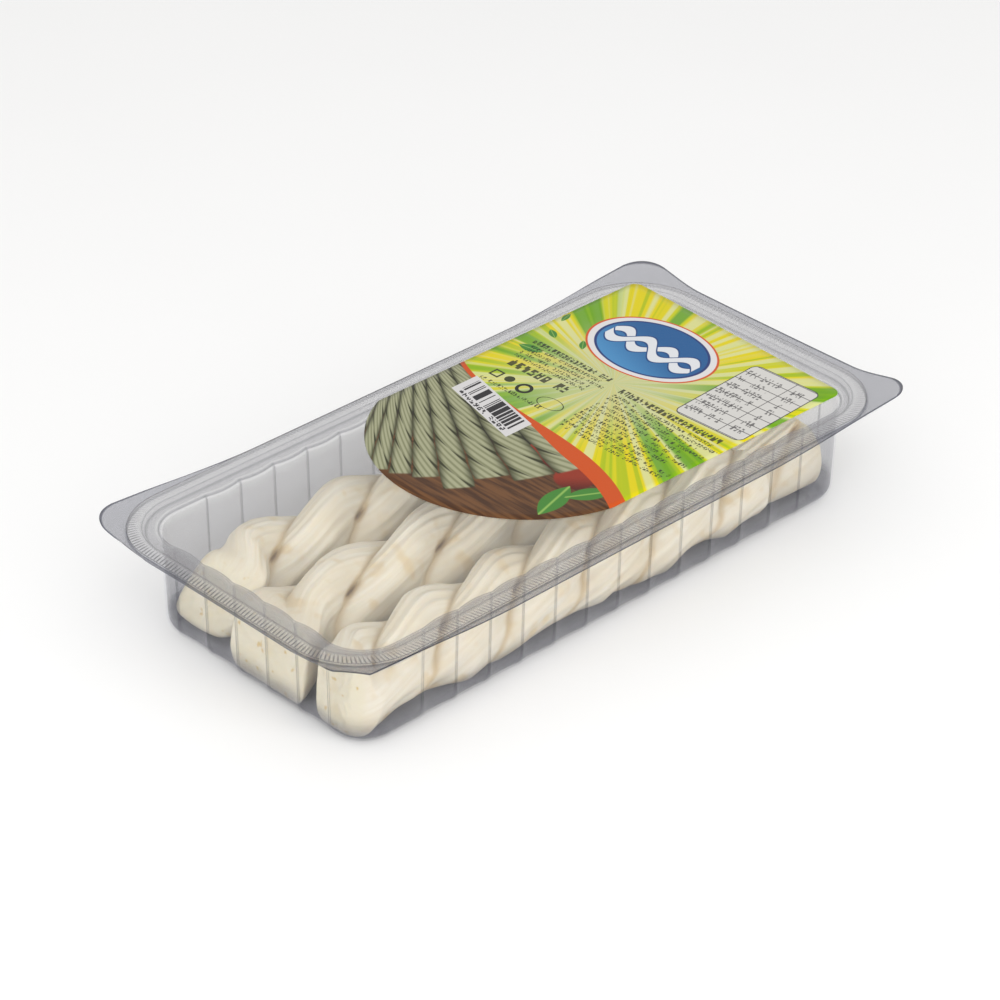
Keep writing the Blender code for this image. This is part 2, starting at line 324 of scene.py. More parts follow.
def clear_plastic(name, tint, haze_colour, haze_parts, fold_shade_share, mirror_roughness):
    """Clear plastic: see-through with a faint tint and haze, darker where the sheet is folded.

    Each face lets most light through. The attribute "haze" stands for what the sheet itself
    scatters: haze_parts says how much of it dims what is behind and how much is milky. A
    second attribute is painted shade along creases and cut edges, which in the real sheet
    bend light away and so look dark.
    The share mirrored rises with the angle as (1 - cosine) to the fifth power.
    """
    finish = Finish(name)
    fold = finish.attribute("fold")
    haze = finish.attribute("haze")
    facing = finish.node("ShaderNodeLayerWeight", {}, {"Blend": 0.5}, "Facing")
    clear = finish.node("ShaderNodeBsdfTransparent", {}, {"Color": (*tint, 1.0)})
    dim = finish.node("ShaderNodeBsdfTransparent", {}, {"Color": (0.10, 0.11, 0.16, 1.0)})
    # Painted shade: a dark see-through share along creases and cut edges, besides the sheet's own dimming
    # where it is hazy.
    dimmed = (fold * fold_shade_share + haze * haze_parts[0]).least(0.95)
    body = finish.mix_shader(dimmed, clear, dim)
    milky = finish.principled(base_color=haze_colour, roughness=0.4)
    body = finish.mix_shader((haze * haze_parts[1]).least(0.9), body, milky)
    mirror = finish.principled(
        base_color=(0.97, 0.97, 1.0, 1.0), metallic=1.0, roughness=mirror_roughness
    )
    mirrored = facing**5.0 * 0.6 + 0.02
    return finish.finished(finish.mix_shader(mirrored, body, mirror))


def cheese():
    """Pale cream cheese with fibres along its strands, yellower on cuts, with painted shade in crevices.

    The attribute "fibre" holds millimetres across the fibres and along the rope, and a share
    of painted shade from 0 to 1, high in crevices and most at their pits. The attribute "cut"
    is 1 on the cut ends.
    """
    finish = Finish("string_cheese")
    fibre = finish.attribute("fibre", "Vector")
    across, along, crevice_shade = finish.parts(fibre)
    cut = finish.attribute("cut")
    place, _, _, _ = finish.object_place()
    streaks = finish.noise(finish.vector(across, along * 0.05), 0.45, 3.0, 0.55)
    threads = finish.noise(finish.vector(across * 2.0, along * 0.12), 1.0, 2.0, 0.5)
    patches = finish.noise(place, 0.07, 2.0)
    stains = finish.noise(place, 0.16, 1.0)
    specks = finish.noise(place, 0.42, 1.0)
    colour = finish.blend(streaks.over(0.5, 0.2), srgb(218, 208, 186), srgb(227, 221, 205))
    colour = finish.blend(patches.over(0.52, 0.2) * 0.5, colour, srgb(213, 200, 172))
    colour = finish.blend(stains.over(0.66, 0.1) * 0.6, colour, srgb(208, 184, 138))
    # Painted shade: crevices darkened to a yellow-brown, and their pits to a darker brown.
    colour = finish.blend(crevice_shade.under(0.2, 0.2) * -0.8 + 0.8, colour, srgb(190, 166, 124))
    colour = finish.blend(crevice_shade.over(0.75, 0.3) * 0.7, colour, srgb(150, 116, 74))
    colour = finish.blend(cut * 0.6, colour, srgb(219, 212, 186))
    colour = finish.blend(cut * specks.over(0.7, 0.04) * 0.8, colour, srgb(200, 172, 108))
    height = threads * 0.5 + streaks * 0.7
    return finish.finished(
        finish.principled(
            base_color=colour,
            roughness=threads * 0.15 + 0.42,
            subsurface_weight=0.25,
            subsurface_radius=(1.0, 0.7, 0.4),
            subsurface_scale=0.002,
            normal=finish.bump(height, 0.3, 0.0003),
        )
    )


def rays(finish, x, y):
    """A plain burst of soft rays from one point: pale near it, yellow and green further out."""
    away_x = x - 45.0
    away_y = y - 8.0
    reach = (away_x * away_x + away_y * away_y).root()
    direction = finish.vector(away_x / reach, away_y / reach)
    broad = finish.noise(direction, 4.2, 1.0)
    fine = finish.noise(direction, 15.0, 1.0)
    colour = finish.blend(broad.over(0.5, 0.06), srgb(180, 192, 26), srgb(214, 198, 0))
    colour = finish.blend(fine.over(0.54, 0.05) * 0.75, colour, srgb(206, 211, 158))
    green = broad.under(0.45, 0.03) * reach.over(16.0, 12.0)
    colour = finish.blend(green * 0.9, colour, srgb(92, 152, 8))
    lime = (fine.under(0.42, 0.03) * reach.over(24.0, 12.0)).least(1.0)
    colour = finish.blend(lime * 0.6, colour, srgb(132, 174, 12))
    pale = reach.under(22.0, 16.0) * 0.65
    return finish.blend(pale, colour, srgb(186, 190, 156))


def lettering(finish, x, y, rows, run, letter, ink_share, seed):
    """Rows of unreadable marks: each letter is a few chance cells, with gaps between words.

    rows is (lowest x, number of rows, pitch) and run is (highest y, lowest y). Rows are
    stacked along x and run towards -y. A letter is four cells wide, the last one bare,
    and six cells high, with the first and the last one bare.
    """
    low, count, pitch = rows
    start, end = run
    row = (x - low) / pitch
    mark = (y * -1.0 + start) / letter
    line = row.floor()
    word = finish.chance(line + seed, mark.floor()).over(0.15)
    ragged = finish.chance(line + seed, line * 0.0 + 91.0)
    cell_x = (row * 6.0).floor()
    cell_y = (mark * 4.0).floor()
    ink = finish.chance(cell_x + seed * 31, cell_y).over(0.5 - 0.2 * ink_share)
    ink = ink * (row.fract() - 0.5).within(-0.333, 0.333) * mark.fract().under(0.75)
    ink = ink * word * row.within(0.0, float(count))
    limit = (ragged * 0.25 + 0.75) * (start - end)
    return ink * mark.over(0.0) * (limit - mark * letter).over(0.0)


def lens(x, y, centre, length, width, angle):
    """Above 0 inside a leaf shape, the overlap of two parabolas."""
    away_x = x - centre[0]
    away_y = y - centre[1]
    along = away_x * cos(angle) + away_y * sin(angle)
    across = away_y * cos(angle) - away_x * sin(angle)
    half = along * (2.0 / length)
    return (1.0 - half * half) * (width / 2) - abs(across), along, across


def leaf(finish, colour, x, y, centre, length, width, angle):
    """A small green leaf with a paler vein."""
    inside, _, across = lens(x, y, centre, length, width, angle)
    vein = abs(across).over(width * 0.05, width * 0.04)
    green = finish.blend(vein, srgb(134, 174, 84), srgb(66, 126, 50))
    return finish.blend(inside.over(0.0, 0.12), colour, green)


def picture(finish, x, y):
    """A plain still life: a fan of pale twisted sticks on a brown board, with leaves."""
    grain = finish.noise(finish.vector(x * 0.25, y * 0.02), 3.0, 3.0)
    wood = finish.blend(grain.over(0.5, 0.15), srgb(70, 44, 26), srgb(108, 72, 42))
    colour = finish.blend((x + y * 0.3).over(-1.0, 8.0), wood, srgb(38, 36, 28))
    for centre, size in (((7.0, -6.0), 6.5), ((3.5, -19.0), 5.5)):
        red = (squared(x - centre[0]) + squared(y - centre[1])).root()
        shine = (x + y - centre[0] - centre[1] + 4.0).under(0.0, 6.0)
        red_colour = finish.blend(shine, srgb(140, 48, 28), srgb(76, 22, 16))
        colour = finish.blend(red.under(size, 0.4), colour, red_colour)
    hub_x = x - 34.0
    hub_y = y - 74.0
    reach = (squared(hub_x) + squared(hub_y)).root()
    stick = hub_x / hub_y * 7.0 - 0.6
    number = stick.floor()
    chance = finish.chance(number, number * 0.0 + 7.0)
    across = stick.fract() - 0.5
    twist = reach * 0.075 + across * 1.2 + chance * 5.0
    bead = abs(twist.fract() - 0.5)
    pleats = (twist * (6 * pi) + across * 4.0).sin() * 0.5 + 0.5
    body = finish.blend(pleats.over(0.3, 0.5), srgb(120, 122, 90), srgb(160, 161, 130))
    dark = (abs(across) * 2.2 + bead.over(0.47, 0.09)).over(0.85, 0.4)
    body = finish.blend(dark, body, srgb(50, 52, 30))
    end = (number * -1.6 + 104.0) - chance * 12.0
    shown = (abs(across) + bead * 0.14).under(0.52, 0.03) * reach.over(30.0, 0.3)
    shown = shown * (reach - end).under(0.0, 0.5) * stick.within(0.0, 10.0)
    colour = finish.blend(shown, colour, body)
    for centre, length, width, angle in (
        ((-8.0, -23.0), 16.0, 6.5, radians(15)),
        ((0.5, -27.0), 13.0, 5.5, radians(-30)),
    ):
        colour = leaf(finish, colour, x, y, centre, length, width, angle)
    return colour


def bar_panel(finish, colour, x, y):
    """A white panel with plain bars of chance widths."""
    across = x - 13.0 - (y - 21.7) * 0.25
    panel = abs(across).under(4.7) * y.within(7.7, 35.7)
    colour = finish.blend(panel, colour, srgb(206, 204, 204))
    bar = y / 0.37
    chance = finish.chance(bar.floor(), y * 0.0 + 3.0)
    bars = chance.over(0.48) * across.within(-2.2, 3.9) * y.within(10.0, 33.5)
    colour = finish.blend(bars, colour, srgb(45, 43, 46))
    marks = lettering(finish, across, y, (-4.6, 1, 2.4), (33.0, 10.0), 1.9, 0.6, 40)
    return finish.blend(marks, colour, srgb(60, 58, 60))


def badge(finish, colour, x, y):
    """A plain blue oval with white and orange edges and two white strands that cross."""
    away_x = x - 65.5
    away_y = y - 13.5
    reach = ((away_x / 15.2) ** 2.0 + (away_y / 20.5) ** 2.0).root()
    edges = (1.0, srgb(200, 84, 40)), (0.965, srgb(214, 212, 212)), (0.87, srgb(34, 56, 112))
    for limit, shade in edges:
        colour = finish.blend(reach.under(limit, 0.006), colour, shade)
    sheen = (away_x * -0.06 + away_y * 0.02 + 0.1).over(0.5, 0.7)
    blue = finish.blend(sheen, srgb(32, 88, 142), srgb(74, 140, 190))
    colour = finish.blend(reach.under(0.83, 0.006), colour, blue)
    swing = (away_y * (pi / 8.0)).sin() * 3.2
    for side in (-1.0, 1.0):
        strand = abs(away_x - swing * side)
        ends = abs(away_y).under(15.5, 0.1)
        colour = finish.blend(strand.under(2.3, 0.1) * ends, colour, srgb(24, 66, 120))
        colour = finish.blend(strand.under(1.7, 0.1) * ends, colour, srgb(214, 216, 220))
    return colour


def squared(value):
    return value * value


def table_box(finish, colour, x, y):
    """A white box with rounded corners, ruled lines and short marks in its rows."""
    tilt = radians(2.5)
    along = (x - 63.5) * cos(tilt) + (y + 23.5) * sin(tilt)
    across = (y + 23.5) * cos(tilt) - (x - 63.5) * sin(tilt)
    corner = 2.5
    out_x = (abs(along) - (17.0 - corner)).most(0.0)
    out_y = (abs(across) - (11.5 - corner)).most(0.0)
    edge = (squared(out_x) + squared(out_y)).root()
    colour = finish.blend(edge.under(corner), colour, srgb(60, 58, 58))
    inside = edge.under(corner - 0.3)
    colour = finish.blend(inside, colour, srgb(204, 202, 198))
    rule = abs((along / 4.1).fract() - 0.5).over(0.465)
    post = abs(across + 3.5).under(0.12)
    colour = finish.blend(rule.most(post) * inside, colour, srgb(90, 88, 88))
    marks = lettering(finish, along, across, (-14.35, 7, 4.1), (10.4, -2.2), 1.3, 0.0, 60)
    numbers = lettering(finish, along, across, (-14.35, 7, 4.1), (-5.2, -9.4), 1.3, 0.0, 70)
    return finish.blend(marks.most(numbers) * inside * 0.8, colour, srgb(70, 68, 70))


def symbols(finish, colour, x, y):
    """Small plain shapes in a row: a square, a round, a ring and an oval ring."""
    ink = srgb(58, 62, 34)
    square = abs(x - 26.0).most(abs(y - 33.0))
    colour = finish.blend(square.under(1.7) * square.over(1.1), colour, ink)
    dot = (squared(x - 26.3) + squared(y - 28.4)).root()
    colour = finish.blend(dot.under(1.5), colour, ink)
    ring = (squared(x - 25.6) + squared(y - 22.2)).root()
    colour = finish.blend(ring.under(2.5) * ring.over(1.5), colour, srgb(40, 42, 30))
    oval = (squared((x - 25.0) / 2.7) + squared((y - 11.8) / 4.4)).root()
    return finish.blend(oval.under(1.0) * oval.over(0.92), colour, ink)


def label_print():
    """The printed label, in fields of colour and simple shapes with no words."""
    finish = Finish("label_print")
    place, x, y, z = finish.object_place()
    colour = rays(finish, x, y)
    for centre, length, width, turn in (
        ((42.0, 36.5), 8.0, 3.4, 100),
        ((52.0, 38.0), 5.0, 2.2, 60),
        ((53.5, 28.0), 5.0, 2.0, 40),
        ((52.0, 20.5), 2.6, 1.2, 110),
        ((61.0, 42.0), 5.0, 1.8, 15),
    ):
        colour = leaf(finish, colour, x, y, centre, length, width, radians(turn))
    dark = srgb(40, 42, 30)
    for rows, run, letter, weight, seed in (
        ((18.6, 11, 2.08), (3.6, -36.0), 1.05, 0.3, 1),
        ((41.6, 1, 3.6), (3.8, -35.5), 1.75, 1.0, 20),
        ((30.6, 1, 5.0), (35.0, 12.5), 2.5, 1.4, 23),
        ((35.6, 4, 2.1), (37.0, 8.0), 1.05, 0.2, 27),
        ((44.0, 1, 3.0), (38.5, 8.0), 1.4, 1.0, 35),
        ((20.6, 1, 2.2), (35.0, 12.0), 1.1, 0.3, 50),
    ):
        marks = lettering(finish, x, y, rows, run, letter, weight, seed)
        colour = finish.blend(marks * 0.9, colour, dark)
    colour = symbols(finish, colour, x, y)
    colour = badge(finish, colour, x, y)
    colour = table_box(finish, colour, x, y)
    edge = x - 15.4 - y * 0.10 + y * y * 0.00204 - y * y * y * 0.0000977
    colour = finish.blend(edge.under(0.0, 0.05), colour, srgb(196, 78, 22))
    band = y.under(2.0, 14.0) * 4.0 + 1.5
    colour = finish.blend((edge + band).under(0.0, 0.05), colour, picture(finish, x, y))
    colour = bar_panel(finish, colour, x, y)
    fibres = finish.noise(place, 1.6, 1.0)
    return finish.finished(
        finish.principled(
            base_color=colour,
            roughness=fibres * 0.08 + 0.3,
            ior=1.3,
            normal=finish.bump(fibres, 0.05, 0.0002),
        )
    )


def pale_floor():
    """A plain, pale, matt floor."""
    finish = Finish("pale_floor")
    place, _, _, _ = finish.object_place()
    grain = finish.noise(place, 0.01, 2.0)
    colour = finish.blend(grain, (0.91, 0.91, 0.91, 1.0), (0.93, 0.93, 0.93, 1.0))
    return finish.finished(finish.principled(base_color=colour, roughness=0.7))


# -------------------------------------------------------------------- surfaces


def smoothstep(value):
    """0 below 0, 1 above 1, and a smooth S between."""
    held = np.clip(value, 0.0, 1.0)
    return held * held * (3.0 - 2.0 * held)


def bell(value, width):
    """1 at 0, falling to nothing about two widths away."""
    return np.exp(-((value / width) ** 2))


def closed_surface(name, rows, finish, **attributes):
    """A closed surface from rows of rings, each end closed by a fan to its middle point.

    rows is an array (row, place round the ring, xyz). An attribute is an array of the
    same first two sizes, with one value or three for each point. The faces are turned
    round if the volume they enclose comes out below zero, so that they point outwards.
    """
    count, around = rows.shape[:2]
    first = rows[0].mean(axis=0)
    last = rows[-1].mean(axis=0)
    points = np.concatenate([rows.reshape(-1, 3), [first, last]])
    base = np.arange(count - 1)[:, None] * around
    here = np.arange(around)[None, :]
    there = (here + 1) % around
    corners = [base + here, base + there, base + around + there, base + around + here]
    quads = np.stack(corners, axis=-1).reshape(-1, 4)
    top = (count - 1) * around
    here = here[0]
    there = there[0]
    start = np.stack([np.full(around, count * around), there, here], axis=1)
    end = np.stack([top + here, top + there, np.full(around, count * around + 1)], axis=1)
    a, b, c, d = (points[quads[:, corner]] for corner in range(4))
    volume = np.einsum("ij,ij->", np.cross(a, b), c) + np.einsum("ij,ij->", np.cross(a, c), d)
    if volume < 0.0:
        quads = quads[:, ::-1]
        start = start[:, ::-1]
        end = end[:, ::-1]
    mesh = bpy.data.meshes.new(name)
    mesh.from_pydata(points.tolist(), [], quads.tolist() + start.tolist() + end.tolist())
    mesh.shade_smooth()
    mesh.materials.append(finish)
    for key, values in attributes.items():
        wide = values.ndim == 3
        ends = np.stack([values[0].mean(axis=0), values[-1].mean(axis=0)])
        flat = values.reshape(-1, 3) if wide else values.reshape(-1)
        made = mesh.attributes.new(key, "FLOAT_VECTOR" if wide else "FLOAT", "POINT")
        filled = np.concatenate([flat, ends]).astype(np.float32).ravel()
        made.data.foreach_set("vector" if wide else "value", filled)
    made = bpy.data.objects.new(name, mesh)
    bpy.context.scene.collection.objects.link(made)
    return made


def wall_stops(half_straight, flutes):
    """Places along one straight wall from -1 to 1, their flute share and crease share.

    A flute is a shallow arc, 1 - (2 phase - 1) squared, that bulges inwards between two
    sharp creases. Places crowd together at the creases, where the crease share is 1.
    """
    edge = flutes * FLUTE_PITCH / 2
    near = np.array([0.0, 0.012, 0.026, 0.045, 0.08, 0.14, 0.22, 0.32, 0.42])
    phase = np.concatenate([near, [0.5], 1.0 - near[:0:-1]])
    along = (np.arange(flutes)[:, None] + phase).ravel() * FLUTE_PITCH - edge
    inset = np.tile(1.0 - (2.0 * phase - 1.0) ** 2, flutes)
    away = np.minimum(phase, 1.0 - phase) * FLUTE_PITCH
    crease = np.tile(bell(away, CREASE_WIDTH), flutes)
    beyond = near[1:5] * FLUTE_PITCH
    side = np.concatenate([[half_straight], (edge + beyond)[::-1]])
    along = np.concatenate([-side, along, [edge], side[::-1]]) / half_straight
    inset = np.concatenate([np.zeros(side.size), inset, [0.0], np.zeros(side.size)])
    fade = np.concatenate([[0.0], bell(beyond, CREASE_WIDTH)[::-1]])
    crease = np.concatenate([fade, crease, [1.0], fade[::-1]])
    return along, inset, crease


def stations(long_stops, short_stops, corner_steps):
    """Run once round a rounded rectangle, anticlockwise from the front of the +X side.

    A station holds its shares of the straight half-lengths, its outward direction, its
    flute share and its crease share.
    """
    rows = []
    sides = (
        (0.0, short_stops, lambda t: (1.0, t)),
        (pi / 2, long_stops, lambda t: (-t, 1.0)),
        (pi, short_stops, lambda t: (-1.0, -t)),
        (3 * pi / 2, long_stops, lambda t: (t, -1.0)),
    )
    for angle, (along, inset, crease), place in sides:
        for t, share, fold in zip(along, inset, crease):
            rows.append((*place(t), cos(angle), sin(angle), share, fold))
        for step in range(1, corner_steps):
            turned = angle + pi / 2 * step / corner_steps
            rows.append((*place(1.0), cos(turned), sin(turned), 0.0, 0.0))
    return np.array(rows)


def even_stations(length, width, corner, count, shift):
    """Stations at equal distances round a rounded rectangle, all moved on by a shift."""
    bend = pi * corner / 2
    side_x = length - 2 * corner
    side_y = width - 2 * corner
    ends = np.cumsum([0.0, side_y, bend, side_x, bend, side_y, bend, side_x, bend])
    run = (np.arange(count) * ends[-1] / count + shift) % ends[-1]
    share_x = np.interp(run, ends, [1, 1, 1, -1, -1, -1, -1, 1, 1])
    share_y = np.interp(run, ends, [-1, 1, 1, 1, 1, -1, -1, -1, -1])
    angle = np.interp(run, ends, np.array([0, 0, 1, 1, 2, 2, 3, 3, 4]) * pi / 2)
    none = np.zeros(count)
    return np.stack([share_x, share_y, np.cos(angle), np.sin(angle), none, none], axis=1)


def outline(track, length, width, corner, centre, inward=0.0):
    """The track's points on one rounded rectangle; inward moves them along their normals."""
    keep_x = length / 2 - corner
    keep_y = width / 2 - corner
    x = centre[0] + track[:, 0] * keep_x + track[:, 2] * (corner - inward)
    y = centre[1] + track[:, 1] * keep_y + track[:, 3] * (corner - inward)
    return x, y


def seal_ring(track, inward):
    """A line of the seal ring, a distance inside its outer foot."""
    return outline(track, RING_LENGTH, RING_WIDTH, RING_CORNER, RING_CENTRE, inward)


def body_wall(track, height, inward, fluted=1.0):
    """The tray wall's outline at a height, drafted inwards towards the floor."""
    draft = BODY_DRAFT * (1.0 - height / LEDGE_TOP)
    inward = draft + inward + track[:, 4] * FLUTE_DEPTH * fluted
    return outline(track, BODY_LENGTH, BODY_WIDTH, BODY_CORNER, BODY_CENTRE, inward)


def flange_edge(track):
    """The flange's outer edge, waisted along its sides, and how far each place is raised.

    The front left corner has a straight cut and a sharp point instead of a round.
    """
    waist = FLANGE_WAIST * (1.0 - (track[:, 0] * track[:, 1]) ** 2)
    x, y = outline(track, FLANGE_LENGTH, FLANGE_WIDTH, FLANGE_CORNER, (0.0, 0.0), waist)
    share, point_x, point_y = CUT_CORNER
    turned = np.arctan2(-track[:, 3], -track[:, 2]) / (pi / 2)
    cut = (track[:, 2] < -1e-9) & (track[:, 3] < -1e-9)
    cut_x = np.interp(turned, [0.0, share, 1.0], [0.0, point_x, FLANGE_CORNER])
    cut_y = np.interp(turned, [0.0, share, 1.0], [FLANGE_CORNER, point_y, 0.0])
    x = np.where(cut, cut_x - FLANGE_LENGTH / 2, x)
    y = np.where(cut, cut_y - FLANGE_WIDTH / 2, y)
    lift_x = smoothstep((np.abs(x) - FLANGE_LENGTH / 2 + EAR_REACH_X) / EAR_REACH_X)
    lift_y = smoothstep((np.abs(y) - FLANGE_WIDTH / 2 + EAR_REACH_Y) / EAR_REACH_Y)
    return (x, y), EAR_LIFT * lift_x * lift_y


def ring_at(flat, height):
    """A ring of points from flat (x, y) arrays and a height or an array of heights."""
    x, y = flat
    return np.stack([x, y, np.broadcast_to(height, x.shape)], axis=1)


def upper_profile(track):
    """The tray's inner and upper face, from the floor out to the flange's edge.

    Returns its rings, how thick the sheet is at each, and the painted shade at each point,
    which draws dark lines along creases and edges.
    """
    rings = []
    thick = []
    fold_shades = []
    none = np.zeros(len(track))

    # Each ring's third value is painted shade: dark lines at creases, round the floor, under the ledge, at
    # the seal ring and at the flange's cut edge.
    def add(ring, sheet, fold):
        rings.append(ring)
        thick.append(sheet)
        fold_shades.append(none + fold)

    radius = BOTTOM_FILLET - SHEET
    add(ring_at(body_wall(track, SHEET, SHEET + radius + 2 * MM, 0.0), SHEET), SHEET, 0.0)
    for angle in np.linspace(0.0, pi / 2, 9):
        height = SHEET + radius * (1.0 - cos(angle))
        inward = SHEET + radius * (1.0 - sin(angle))
        fluted = smoothstep(angle / (pi / 2))
        flat = body_wall(track, height, inward, fluted)
        line = 0.25 * bell(angle - 0.35, 0.2)
        add(ring_at(flat, height), SHEET, track[:, 5] * fluted**2 * 0.5 + line)
    shoulder_foot = LEDGE_TOP - SHOULDER
    for height in np.linspace(BOTTOM_FILLET, shoulder_foot, 12)[1:]:
        add(ring_at(body_wall(track, height, SHEET), height), SHEET, track[:, 5] * 0.7)
    for angle in np.linspace(0.0, pi / 2, 7)[1:]:
        height = shoulder_foot + SHOULDER * sin(angle)
        inward = SHEET - SHOULDER * (1.0 - cos(angle))
        line = 0.8 * bell(angle - 1.1, 0.25)
        fold = track[:, 5] * cos(angle) * 0.7 + line
        add(ring_at(body_wall(track, height, inward), height), SHEET, fold)
    ledge = rings[-1]
    foot = ring_at(seal_ring(track, RING_BAND), LEDGE_TOP)
    for share in (0.3, 0.6, 0.85):
        add(ledge + (foot - ledge) * share, SHEET, 0.0)
    ring_top = FLANGE_TOP + RING_RISE
    for share in np.linspace(0.0, 1.0, 8):
        height = LEDGE_TOP + (ring_top - LEDGE_TOP) * smoothstep(share)
        flat = seal_ring(track, RING_BAND - RING_SLOPE * share)
        add(ring_at(flat, height), RIM_SHEET, 0.5 * bell(share - 0.15, 0.2))
    for share in (0.3, 0.7):
        inward = (RING_BAND - RING_SLOPE) * (1.0 - share) + RING_SLOPE * share
        add(ring_at(seal_ring(track, inward), ring_top), RIM_SHEET, 0.0)
    for share in np.linspace(0.0, 1.0, 8):
        height = ring_top - RING_RISE * smoothstep(share)
        flat = seal_ring(track, RING_SLOPE * (1.0 - share))
        add(ring_at(flat, height), RIM_SHEET, 0.8 * bell(share - 0.9, 0.2))
    start = ring_at(seal_ring(track, -0.1 * MM), FLANGE_TOP)
    edge, lift = flange_edge(track)
    end = ring_at(edge, FLANGE_TOP)
    for share in (0.05, 0.15, 0.35, 0.55, 0.75, 0.9, 0.97, 1.0):
        ring = start + (end - start) * share
        ring[:, 2] = FLANGE_TOP + lift * (0.35 * share + 0.65 * share**2)
        add(ring, RIM_SHEET, 1.6 * smoothstep((share - 0.93) / 0.06))
    return np.array(rings), np.array(thick), np.array(fold_shades)


def make_tray(finish):
    """The clear fluted tray: its upper face, a round edge, and the lower face.

    The lower face lies the sheet's thickness under the upper one, along the normal, which
    is the cross product of the differences round and across the rings. The sheet is
    milkier at its floor, along the back wall, on the ledge and on the margin of its flange.
    """
    half_long = BODY_LENGTH / 2 - BODY_CORNER
    half_short = BODY_WIDTH / 2 - BODY_CORNER
    long_stops = wall_stops(half_long, LONG_FLUTES)
    short_stops = wall_stops(half_short, SHORT_FLUTES)
    track = stations(long_stops, short_stops, 18)
    upper, thick, fold_shades = upper_profile(track)
    across = np.gradient(upper, axis=0)
    along = np.roll(upper, -1, axis=1) - np.roll(upper, 1, axis=1)
    normal = np.cross(across, along)
    normal /= np.linalg.norm(normal, axis=2, keepdims=True)
    lower = upper - normal * thick[:, None, None]
    out = upper[-1] - upper[-2]
    out /= np.linalg.norm(out, axis=1, keepdims=True)
    middle = (upper[-1] + lower[-1]) / 2 + out * RIM_SHEET * 0.3
    rows = np.concatenate([upper, middle[None], lower[::-1]])
    # Painted shade along creases and edges, the same on the lower face.
    fold = np.concatenate([fold_shades, fold_shades[-1:], fold_shades[::-1]])
    height = rows[..., 2]
    wall = smoothstep((LEDGE_TOP - height) / (2 * MM))
    haze = 0.04 + 0.48 * smoothstep((8 * MM - height) / (5 * MM))
    haze += 0.38 * wall * smoothstep((rows[..., 1] - 34 * MM) / (5 * MM))
    shelf = np.zeros(len(upper))
    shelf[-8:] = 0.52
    shelf[-26:-8] = 0.29
    shelf[-29:-26] = 0.38
    shelf[-31:-29] = 0.20
    haze += np.concatenate([shelf, shelf[-1:], shelf[::-1]])[:, None]
    haze += 0.12 * wall * smoothstep((rows[..., 0] - 58 * MM) / (30 * MM))
    haze[len(upper) :] = 0.0
    tray = closed_surface("clear_tray", rows, finish, fold=fold, haze=haze)
    tray.visible_shadow = False
    return tray


def make_film(finish):
    """The clear lid film, with the seal's slanting ridges pressed into its band.

    Across the band the stations move on along it, so that each ridge is a line of points.
    The ridges are a cosine of the place along the band. They fade towards the band's
    inner edge, and are fainter at +X and +Y. Each ridge also carries a stroke of painted
    shade, and the band's edges a painted dark line.
    """
    low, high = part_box("lid_film")
    track_length = 2 * (RING_LENGTH + RING_WIDTH) - (8 - 2 * pi) * RING_CORNER
    ridges = round(track_length / HATCH_PITCH)
    wave = np.cos((np.arange(ridges * HATCH_STEPS) + 0.5) * 2 * pi / HATCH_STEPS)
    stroke = smoothstep(-wave * 1.2 - 0.2)
    inwards = np.concatenate([[0.0, 0.15, 0.4], np.linspace(0.6, 3.6, 9), [3.9, 4.2, 8.0]]) * MM
    rings = []
    fold_shades = []
    for inward in inwards:
        shift = -HATCH_SLANT * inward
        track = even_stations(RING_LENGTH, RING_WIDTH, RING_CORNER, wave.size, shift)
        front = smoothstep(0.5 - (track[:, 2] + track[:, 3]) * 0.5)
        strength = 0.2 + front * (0.4 + 0.4 * np.maximum(-track[:, 2], 0.0))
        window = smoothstep((inward - 0.2 * MM) / (0.3 * MM))
        window = window * smoothstep((HATCH_WIDTH + 0.4 * MM - inward) / (2.4 * MM)) * strength
        height = high.z - FILM_DROP - HATCH_DEPTH * window * (1 - wave) / 2
        rings.append(ring_at(seal_ring(track, inward), height))
        # Painted shade: a dark stroke along each pressed ridge, and dark lines at the band's edges.
        line = bell(inward - 3.9 * MM, 0.25 * MM) * 0.4 + bell(inward, 0.15 * MM)
        fold_shades.append(window * 1.4 * stroke + line)
    upper = np.array(rings)[::-1]
    fold = np.array(fold_shades)[::-1]
    lower = upper.copy()
    lower[:, :, 2] -= high.z - low.z
    rows = np.concatenate([upper, lower[::-1]])
    fold = np.concatenate([fold, fold[::-1]])
    haze = np.full(fold.shape, 0.12)
    haze[len(upper) :] = 0.0
    film = closed_surface("clear_lid_film", rows, finish, fold=fold, haze=haze)
    film.visible_shadow = False
    return film


def label_edge():
    """The label's outline, anticlockwise: one big arc at -X and two round corners at +X.

    Its straight edges and its +X end are a little out of square with the tray.
    """
    x, y, radius = LABEL_ARC
    start = pi - np.arcsin((LABEL_BACK_Y - y) / radius)
    stop = pi - np.arcsin((LABEL_FRONT_Y - y) / radius)
    turn = np.linspace(start, stop, 160)
    arc = np.stack([x + radius * np.cos(turn), y + radius * np.sin(turn)], axis=1)
    bend = np.linspace(0.0, pi / 2, 12)
    reach = LABEL_CORNER * np.sin(bend)
    rest = LABEL_CORNER * (1 - np.cos(bend))
    keep = LABEL_END_X - LABEL_CORNER
    front = np.stack([keep + reach, LABEL_FRONT_Y + rest], axis=1)
    back = np.stack([keep + reach, LABEL_BACK_Y - rest], axis=1)[::-1]
    edge = np.concatenate([arc, front, back])
    along = np.maximum(edge[:, 0] - x, 0.0)
    share = (LABEL_BACK_Y - edge[:, 1]) / (LABEL_BACK_Y - LABEL_FRONT_Y)
    front_slope, back_slope, end_slope = LABEL_SLOPES
    slope = back_slope + (front_slope - back_slope) * share
    shift_x = end_slope * edge[:, 1] * along / (LABEL_END_X - x)
    return edge + np.stack([shift_x, slope * along], axis=1)


